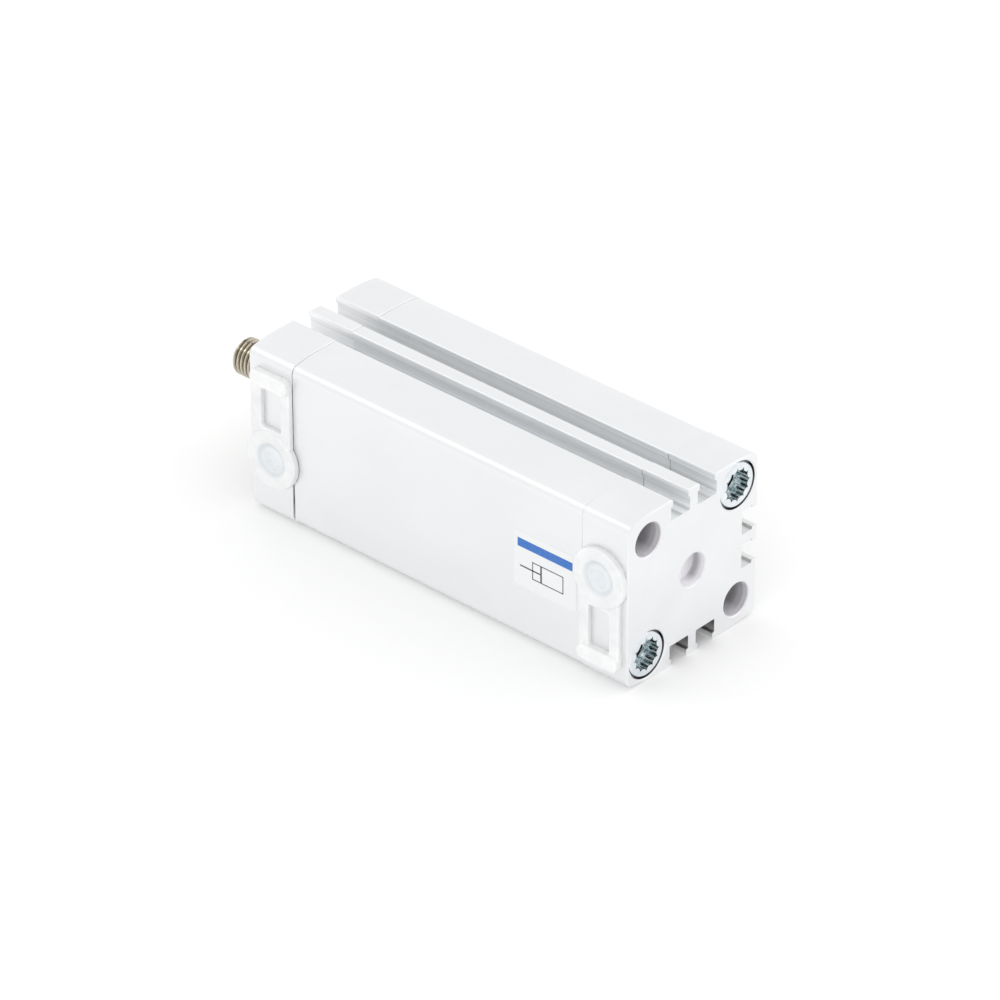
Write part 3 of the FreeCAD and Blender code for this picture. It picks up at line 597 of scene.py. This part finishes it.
def label_ink(name, colour):
    """Printed ink, a little uneven over the paper."""
    material, tree = new_material(name)
    patches = tree.spread(tree.noise((2.5, 2.5, 2.5), 3.0))
    faded = tuple(0.85 * level + 0.06 for level in colour)
    tree.surface({
        "Base Color": tree.blend(patches, colour, faded),
        "Roughness": 0.42 + 0.1 * (patches - 0.5),
    })
    return material


# Modelling

def take(piece):
    """Makes the piece the only one selected, and the active one."""
    bpy.ops.object.select_all(action="DESELECT")
    piece.select_set(True)
    bpy.context.view_layer.objects.active = piece


def edit_all():
    """Enters edit mode with everything selected."""
    bpy.ops.object.mode_set(mode="EDIT")
    bpy.ops.mesh.select_all(action="SELECT")


def end_facing_out():
    """Turns every face outwards and leaves edit mode."""
    bpy.ops.mesh.select_all(action="SELECT")
    bpy.ops.mesh.normals_make_consistent(inside=False)
    bpy.ops.object.mode_set(mode="OBJECT")


def select_where(piece, test):
    """In edit mode, selects only the vertices whose places pass the test."""
    bpy.ops.mesh.select_mode(type="VERT")
    bpy.ops.mesh.select_all(action="DESELECT")
    bpy.ops.object.mode_set(mode="OBJECT")
    for vertex in piece.data.vertices:
        vertex.select = test(vertex.co)
    bpy.ops.object.mode_set(mode="EDIT")


def apply_modifier(piece, kind, **settings):
    """Adds one modifier with its settings and applies it."""
    take(piece)
    modifier = piece.modifiers.new(kind.lower(), kind)
    for name, value in settings.items():
        setattr(modifier, name, value)
    bpy.ops.object.modifier_apply(modifier=modifier.name)


def combine(piece, other, operation):
    """Cuts the other piece out of this one, or joins it on, and removes the other."""
    apply_modifier(piece, "BOOLEAN", operation=operation, solver="EXACT", object=other)
    mesh = other.data
    bpy.data.objects.remove(other)
    bpy.data.meshes.remove(mesh)


def smooth(piece, angle):
    """Smooth shading up to that angle in degrees, with flat faces kept flat."""
    take(piece)
    bpy.ops.object.shade_smooth_by_angle(angle=math.radians(angle))
    apply_modifier(piece, "WEIGHTED_NORMAL", keep_sharp=True, weight=100)


def new_plane(name, size, height=0.0):
    """A level square face over the origin, as the active piece."""
    bpy.ops.object.select_all(action="DESELECT")
    bpy.ops.mesh.primitive_plane_add(size=size, location=(0, 0, height))
    plane = bpy.context.object
    plane.name = name
    return plane


def copy_of(node_name, piece_name):
    """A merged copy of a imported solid, ready to be cut."""
    piece = bpy.data.objects.new(piece_name, NODES[node_name].data.copy())
    bpy.context.scene.collection.objects.link(piece)
    take(piece)
    bpy.ops.mesh.customdata_custom_splitnormals_clear()
    edit_all()
    bpy.ops.mesh.remove_doubles(threshold=MERGE_DISTANCE)
    bpy.ops.mesh.dissolve_limited(angle_limit=FLAT_ANGLE)
    bpy.ops.object.mode_set(mode="OBJECT")
    return piece


def finish_piece(piece, material, body, node_name=None):
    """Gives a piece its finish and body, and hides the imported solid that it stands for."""
    piece.data.materials.clear()
    piece.data.materials.append(material)
    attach(piece, body)
    if node_name:
        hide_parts(node_name)


def thread_groove(pitch, crest_r, crest_share, depth, length, outwards):
    """A helical groove cutter round X from x = 0.

    crest_share is the share of the pitch that stays as the crest's flat. outwards is 1 for a groove in a
    bore, and -1 for one in a bolt.
    """
    past = CUT_PAST * pitch
    mouth = (1 - crest_share) * pitch
    wide = mouth / 2 + FLANK * past
    narrow = mouth / 2 - FLANK * depth
    near_r = crest_r - outwards * past
    far_r = crest_r + outwards * depth
    cutter = new_plane("groove", 1.0)
    corners = [(-wide, near_r), (wide, near_r), (narrow, far_r), (-narrow, far_r)]
    order = sorted(cutter.data.vertices, key=lambda vertex: math.atan2(vertex.co.y, vertex.co.x))
    for vertex, (x, radius) in zip(order, corners):
        vertex.co = (x, 0.0, radius)
    edit_all()
    bpy.ops.mesh.delete(type="ONLY_FACE")
    bpy.ops.object.mode_set(mode="OBJECT")
    turns = math.ceil(length / pitch)
    apply_modifier(
        cutter, "SCREW", axis="X", angle=2 * math.pi, screw_offset=pitch, iterations=turns,
        steps=THREAD_STEPS, render_steps=THREAD_STEPS,
    )
    edit_all()
    bpy.ops.mesh.fill_holes(sides=4)
    end_facing_out()
    return cutter


def turned_piece(name, stations):
    """A closed piece turned about Z through (radius, height) stations, flat across its two ends."""
    radius, height = stations[0]
    bpy.ops.object.select_all(action="DESELECT")
    bpy.ops.mesh.primitive_circle_add(vertices=TURN_SIDES, radius=radius, fill_type="NGON")
    piece = bpy.context.object
    piece.name = name
    edit_all()
    bpy.ops.transform.translate(value=(0, 0, height))
    bpy.ops.mesh.region_to_loop()
    for next_radius, next_height in stations[1:]:
        rise = (0, 0, next_height - height)
        bpy.ops.mesh.extrude_edges_move(TRANSFORM_OT_translate={"value": rise})
        scale = next_radius / radius
        bpy.ops.transform.resize(value=(scale, scale, 1), center_override=(0, 0, next_height))
        radius, height = next_radius, next_height
    bpy.ops.mesh.edge_face_add()
    end_facing_out()
    return piece


def arc(centre_r, centre_h, radius, start, end, steps=ARC_STEPS):
    """Stations on an arc, with angles in degrees from the outward radius towards +height."""
    angles = [math.radians(start + (end - start) * step / steps) for step in range(steps + 1)]
    return [(centre_r + radius * math.cos(a), centre_h + radius * math.sin(a)) for a in angles]


def plate(name, edges, y_start, thickness, corner, rounded=None):
    """A plate parallel to the port side, with (x, x, z, z) edges and rounded corners.

    rounded tests a corner's place, and all corners are rounded without it.
    """
    x_low, x_high, z_low, z_high = edges
    piece = new_plane(name, 1.0)
    edit_all()
    bpy.ops.transform.rotate(value=math.pi / 2, orient_axis="X", center_override=(0, 0, 0))
    bpy.ops.transform.resize(value=(x_high - x_low, 1, z_high - z_low), center_override=(0, 0, 0))
    bpy.ops.transform.translate(value=((x_low + x_high) / 2, y_start, (z_low + z_high) / 2))
    if corner:
        select_where(piece, rounded or (lambda place: True))
        bpy.ops.mesh.bevel(offset=corner, segments=CORNER_STEPS, affect="VERTICES")
    end_facing_out()
    facing = piece.data.polygons[0].normal.y
    apply_modifier(piece, "SOLIDIFY", thickness=thickness, offset=1.0 if facing > 0 else -1.0)
    return piece


def ease_front(piece, width, steps):
    """Rounds the edges of a plate's front face, the window's in it too."""
    front = max(vertex.co.y for vertex in piece.data.vertices)
    take(piece)
    bpy.ops.object.mode_set(mode="EDIT")
    select_where(piece, lambda place: place.y > front - MERGE_DISTANCE)
    bpy.ops.mesh.region_to_loop()
    bpy.ops.mesh.bevel(offset=width, segments=steps, affect="EDGES")
    bpy.ops.object.mode_set(mode="OBJECT")


# Pieces of the object

def threaded_rod():
    """The piston rod with its rolled end thread."""
    rod = copy_of("piston_rod", "rod_with_thread")
    length = ROD_THREAD_LENGTH + ROD_PITCH
    groove = thread_groove(ROD_PITCH, ROD_THREAD_R, ROD_CREST, ROD_GROOVE, length, -1)
    groove.data.transform(Matrix.Translation((ROD_TIP - ROD_THREAD_LENGTH, 0, 0)))
    combine(rod, groove, "DIFFERENCE")
    smooth(rod, METAL_SMOOTH)
    return rod


def threaded_screw(node_name):
    """A collar screw with the inner thread below its socket."""
    low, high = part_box(node_name)
    centre = (low + high) / 2
    at_front = centre.x > BARREL_HIGH.x / 2
    screw = copy_of(node_name, node_name.replace("collar_screw", "threaded_collar_screw"))
    length = SCREW_TIP - SOCKET_FLOOR
    groove = thread_groove(INNER_PITCH, INNER_MINOR_R, INNER_CREST, INNER_GROOVE, length, 1)
    start = FRONT_HIGH.x - SCREW_TIP if at_front else SOCKET_FLOOR
    groove.data.transform(Matrix.Translation((start, centre.y, centre.z)))
    combine(screw, groove, "DIFFERENCE")
    smooth(screw, METAL_SMOOTH)
    return screw


def threaded_port_cap(node_name, piece_name, mount_name):
    """A cap with the thread in its air port."""
    cap = copy_of(node_name, piece_name)
    groove = thread_groove(PORT_PITCH, PORT_R, PORT_CREST, PORT_GROOVE, PORT_THREAD_LENGTH, 1)
    port = Vector(MOUNTS[mount_name]["pos_m"])
    turn = Matrix.Rotation(math.pi / 2, 4, "Z")
    place = Matrix.Translation((port.x, PORT_SIDE - PORT_THREAD_LENGTH, port.z))
    groove.data.transform(place @ turn)
    combine(cap, groove, "DIFFERENCE")
    return cap


def seam_gap():
    """A cutter for the seam: a thin wedge of a square frame, at the barrel's front end."""
    outer = PORT_SIDE + SEAM_DEPTH
    inner = PORT_SIDE - SEAM_DEPTH
    gap = new_plane("seam", 2 * outer)
    edit_all()
    bpy.ops.mesh.inset(thickness=outer - inner)
    bpy.ops.mesh.delete(type="FACE")
    bpy.ops.mesh.select_all(action="SELECT")
    bpy.ops.transform.rotate(value=math.pi / 2, orient_axis="Y", center_override=(0, 0, 0))
    bpy.ops.mesh.extrude_region_move(TRANSFORM_OT_translate={"value": (SEAM_BOTTOM_WIDTH, 0, 0)})
    select_where(gap, lambda place: place.x > SEAM_BOTTOM_WIDTH / 2 and place.z > 0)
    bpy.ops.transform.translate(value=(SEAM_TOP_WIDTH - SEAM_BOTTOM_WIDTH, 0, 0))
    bpy.ops.mesh.select_all(action="SELECT")
    bpy.ops.transform.translate(value=(BARREL_HIGH.x, 0, 0))
    end_facing_out()
    return gap


def front_cap():
    """The bearing cap with the fine open seam where it meets the barrel."""
    cap = threaded_port_cap("bearing_cap", "front_cap", "front_port")
    combine(cap, seam_gap(), "DIFFERENCE")
    smooth(cap, METAL_SMOOTH)
    return cap


def rear_cap():
    """The rear cap, which meets the barrel without a gap."""
    cap = threaded_port_cap("end_cap", "rear_cap", "rear_port")
    smooth(cap, METAL_SMOOTH)
    return cap


def plug_stations():
    """The plug's turned outline, from the gate mark over the flange and the ribbed stem to its hollow."""
    floor = FLANGE_FACE - DISH_DEPTH
    boss = floor + BOSS_HEIGHT
    stations = [
        (GATE_FLOOR_R, boss - GATE_DEPTH),
        (GATE_WALL_R, boss - GATE_WALL_DEPTH),
        (GATE_R, boss),
        *arc(BOSS_R - BOSS_ROUND, boss - BOSS_ROUND, BOSS_ROUND, 90, BOSS_LEAN),
        (BOSS_FOOT_R, floor + BOSS_FOOT_HEIGHT),
        (BOSS_FOOT_R + DISH_ROUND, floor),
        (DISH_FLOOR_R - DISH_ROUND, floor),
        (DISH_FLOOR_R + DISH_EASE, floor + DISH_EASE_LOW),
        (DISH_R - DISH_EASE, FLANGE_FACE - DISH_EASE_HIGH),
        (DISH_R + DISH_ROUND, FLANGE_FACE),
        *arc(FLANGE_R - FLANGE_RIM, FLANGE_FACE - FLANGE_RIM, FLANGE_RIM, 90, 0),
    ]
    rim_r = FLANGE_R - FLANGE_UNDER_RIM
    stations += arc(rim_r, FLANGE_UNDER + FLANGE_UNDER_RIM, FLANGE_UNDER_RIM, 0, -90, UNDER_RIM_STEPS)
    stations += [(STEM_R, FLANGE_UNDER)]
    shoulder = STEM_LEAD - STEM_LENGTH
    flat_start, flat_end = RIB_FLAT
    for step in reversed(range(STEM_RIBS)):
        rib = shoulder + (step + 0.5) * RIB_PITCH
        stations += [
            (STEM_R, rib + RIB_WIDTH),
            (RIB_R, rib + flat_end * RIB_WIDTH),
            (RIB_R, rib + flat_start * RIB_WIDTH),
            (STEM_R, rib),
        ]
    stations += [
        (STEM_R, shoulder),
        (STEM_R - STEM_LEAD, -STEM_LENGTH),
        (HOLLOW_R, -STEM_LENGTH),
        (HOLLOW_R, floor - MEMBRANE),
    ]
    return stations


def port_plug(name):
    """A transport plug at the origin: turned stem and flange, and a loop tab with a thick grip."""
    def outer(place):
        return place.z > TAB_REACH / 2

    plug = turned_piece(name, plug_stations())
    plug.data.transform(Matrix.Rotation(-math.pi / 2, 4, "X"))
    grip_start = TAB_REACH - GRIP_LENGTH
    half = TAB_HALF - TAB_INSET
    tab_edges = (-half, half, TAB_START, TAB_REACH - TAB_CORNER / 2)
    tab_base = TAB_LIFT - TAB_INSET
    tab = plate("tab", tab_edges, tab_base, TAB_FACE - tab_base, TAB_CORNER, outer)
    window_half = TAB_HALF - TAB_RAIL
    window_edges = (-window_half, window_half, FLANGE_R + TAB_GAP, grip_start)
    window = plate("window", window_edges, -TAB_FACE, 3 * TAB_FACE, WINDOW_CORNER)
    combine(tab, window, "DIFFERENCE")
    ease_front(tab, TAB_ROUND, TAB_ROUND_STEPS)
    grip_edges = (-TAB_HALF, TAB_HALF, grip_start, TAB_REACH)
    grip = plate("grip", grip_edges, TAB_LIFT, GRIP_FACE - TAB_LIFT, TAB_CORNER, outer)
    ease_front(grip, GRIP_ROUND, GRIP_ROUND_STEPS)
    combine(plug, tab, "UNION")
    combine(plug, grip, "UNION")
    smooth(plug, PLUG_SMOOTH)
    return plug


def seated_plug(name, mount_name, tab_down):
    """A plug in its port, with the tab down or up."""
    plug = port_plug(name)
    port = MOUNTS[mount_name]["pos_m"]
    turn = Matrix.Rotation(math.pi if tab_down else 0.0, 4, "Y")
    plug.data.transform(Matrix.Translation((port[0], PORT_SIDE, port[2])) @ turn)
    return plug


def label():
    """The sticker: a thin rounded plate on the barrel's side."""
    return plate("label", LABEL_EDGES, BARREL_SIDE, LABEL_THICKNESS, LABEL_CORNER)


def print_bars(name, bars):
    """Printed bars on the sticker as one piece, given by their (x, x, z, z) edges in millimetres."""
    top = BARREL_SIDE + LABEL_THICKNESS
    pieces = [plate(name, [edge * MM for edge in bar], top, PRINT_THICKNESS, 0.0) for bar in bars]
    bpy.ops.object.select_all(action="DESELECT")
    for piece in pieces:
        piece.select_set(True)
    bpy.context.view_layer.objects.active = pieces[0]
    if len(pieces) > 1:
        bpy.ops.object.join()
    return pieces[0]


def frame_bars(edges, line):
    """The four bars of a drawn rectangle."""
    x_low, x_high, z_low, z_high = edges
    return [
        (x_low, x_high, z_low, z_low + line),
        (x_low, x_high, z_high - line, z_high),
        (x_low, x_low + line, z_low, z_high),
        (x_high - line, x_high, z_low, z_high),
    ]


# Stage

def floor():
    """A white floor that keeps the shadow and is just white, to camera and gloss, where none falls."""
    plane = new_plane("floor", FLOOR_SIZE, FLOOR_LEVEL)
    material, tree = new_material("floor")

    def diffuse(level):
        return tree.add("ShaderNodeBsdfDiffuse", None, {"Color": (level, level, level, 1.0)})

    def lit(share):
        """A surface that is white in full light and loses that share of its brightness in the dark."""
        shade = diffuse(share)
        strength = 1.0 - share * FLOOR_LIGHT
        glow = tree.add("ShaderNodeEmission", None, {"Color": WHITE, "Strength": strength})
        return tree.add("ShaderNodeAddShader", None, {0: shade, 1: glow})

    bounce = diffuse(FLOOR_BOUNCE)
    to_camera = tree.add("ShaderNodeLightPath", output="Is Camera Ray")
    to_gloss = tree.add("ShaderNodeLightPath", output="Is Glossy Ray")
    to_gloss = to_gloss.larger(tree.add("ShaderNodeLightPath", output="Is Transmission Ray"))
    surface = tree.add("ShaderNodeMixShader", None, {0: to_gloss, 1: bounce, 2: lit(GLOSS_SHARE)})
    surface = tree.add("ShaderNodeMixShader", None, {0: to_camera, 1: surface, 2: lit(SHADOW_SHARE)})
    tree.add("ShaderNodeOutputMaterial", None, {"Surface": surface})
    plane.data.materials.append(material)


def room():
    """An even white room."""
    world = bpy.data.worlds.new("room")
    bpy.context.scene.world = world
    world.use_nodes = True
    tree = ShaderTree(world.node_tree)
    background = tree.add("ShaderNodeBackground", None, {"Color": WHITE, "Strength": 1.0})
    tree.add("ShaderNodeOutputWorld", None, {"Surface": background})


def softbox(name, direction, distance, size, power, mirrored=True):
    """A square lamp that faces the front end of the barrel, and may stay out of reflections."""
    lamp = bpy.data.lights.new(name, "AREA")
    lamp.shape = "SQUARE"
    lamp.size = size
    lamp.energy = power
    holder = bpy.data.objects.new(name, lamp)
    bpy.context.scene.collection.objects.link(holder)
    direction = direction.normalized()
    target = Vector((FRONT_LOW.x, 0, 0))
    holder.location = target + distance * direction
    holder.rotation_euler = direction.to_track_quat("Z", "Y").to_euler()
    holder.visible_glossy = mirrored


def camera():
    """The photograph's viewpoint."""
    azimuth = math.radians(CAMERA_AZIMUTH)
    elevation = math.radians(CAMERA_ELEVATION)
    roll = math.radians(CAMERA_ROLL)
    level = math.cos(elevation)
    back = Vector((math.sin(azimuth) * level, -math.cos(azimuth) * level, math.sin(elevation)))
    right = Vector((math.cos(azimuth), math.sin(azimuth), 0))
    up = back.cross(right)
    across = right * math.cos(roll) + up * math.sin(roll)
    upright = up * math.cos(roll) - right * math.sin(roll)
    data = bpy.data.cameras.new("camera")
    data.lens = CAMERA_LENS
    data.sensor_width = CAMERA_SENSOR
    data.clip_end = CAMERA_CLIP_END
    holder = bpy.data.objects.new("camera", data)
    bpy.context.scene.collection.objects.link(holder)
    turn = Matrix((across, upright, back)).transposed().to_4x4()
    holder.matrix_world = Matrix.Translation(CAMERA_PLACE) @ turn
    bpy.context.scene.camera = holder


# Assembly

finishes = {
    "anodised": anodised_cap(),
    "zinc_steel": zinc_steel(),
    "stainless": stainless(),
    "piston_alloy": turned_alloy(),
    "magnet": sintered("magnet", (0.10, 0.10, 0.11), (0.20, 0.20, 0.21), 0.3, 0.6),
    "guide_plastic": moulded("guide_plastic", (0.76, 0.72, 0.62), (0.83, 0.79, 0.70), 0.5),
    "seal_rubber": moulded("seal_rubber", (0.035, 0.035, 0.035), (0.06, 0.06, 0.06), 0.55),
    "cushion_rubber": moulded("cushion_rubber", (0.11, 0.20, 0.17), (0.16, 0.27, 0.23), 0.45),
    "bearing_bronze": sintered("bearing_bronze", (0.50, 0.36, 0.20), (0.68, 0.50, 0.30), 1.0, 0.42),
    "plug_plastic": plug_plastic("front_plug_plastic", MOUNTS["front_port"]["pos_m"]),
}
for part in frame["record"]["subparts"]:
    NODES[part["node"]].material_slots[0].material = finishes[part["material_slot"]]
NODES["barrel"].material_slots[0].material = anodised_barrel()

finish_piece(threaded_rod(), finishes["stainless"], "rod", "piston_rod")
finish_piece(front_cap(), finishes["anodised"], "housing", "bearing_cap")
finish_piece(rear_cap(), finishes["anodised"], "housing", "end_cap")
for end in ("rear", "front"):
    for level in ("upper", "lower"):
        screw_name = f"{end}_collar_screw_{level}"
        screw = threaded_screw(screw_name)
        finish_piece(screw, finishes["zinc_steel"], "housing", screw_name)
rear_plug = seated_plug("rear_transport_plug", "rear_port", True)
front_plug = seated_plug("front_transport_plug", "front_port", False)
rear_plastic = plug_plastic("rear_plug_plastic", MOUNTS["rear_port"]["pos_m"])
finish_piece(rear_plug, rear_plastic, "rear_plug", "rear_port_plug")
finish_piece(front_plug, finishes["plug_plastic"], "front_plug", "front_port_plug")
finish_piece(label(), label_paper(), "housing")
stripe = print_bars("label_stripe", [STRIPE])
finish_piece(stripe, label_ink("blue_ink", (0.005, 0.14, 0.52)), "housing")
symbol_bars = frame_bars(SYMBOL_TUBE, SYMBOL_LINE) + [SYMBOL_PISTON, SYMBOL_ROD]
symbol = print_bars("label_symbol", symbol_bars)
finish_piece(symbol, label_ink("dark_ink", (0.03, 0.03, 0.035)), "housing")

floor()
room()
softbox("left_softbox", LEFT_DIRECTION, SOFTBOX_DISTANCE, LEFT_SIZE, LEFT_POWER)
softbox("right_softbox", RIGHT_DIRECTION, SOFTBOX_DISTANCE, RIGHT_SIZE, RIGHT_POWER)
softbox("fill", FILL_DIRECTION, PANEL_DISTANCE, PANEL_SIZE, FILL_POWER, False)
softbox("back_panel", BACK_DIRECTION, PANEL_DISTANCE, PANEL_SIZE, BACK_POWER, False)
camera()
bpy.context.scene.view_settings.view_transform = "Standard"
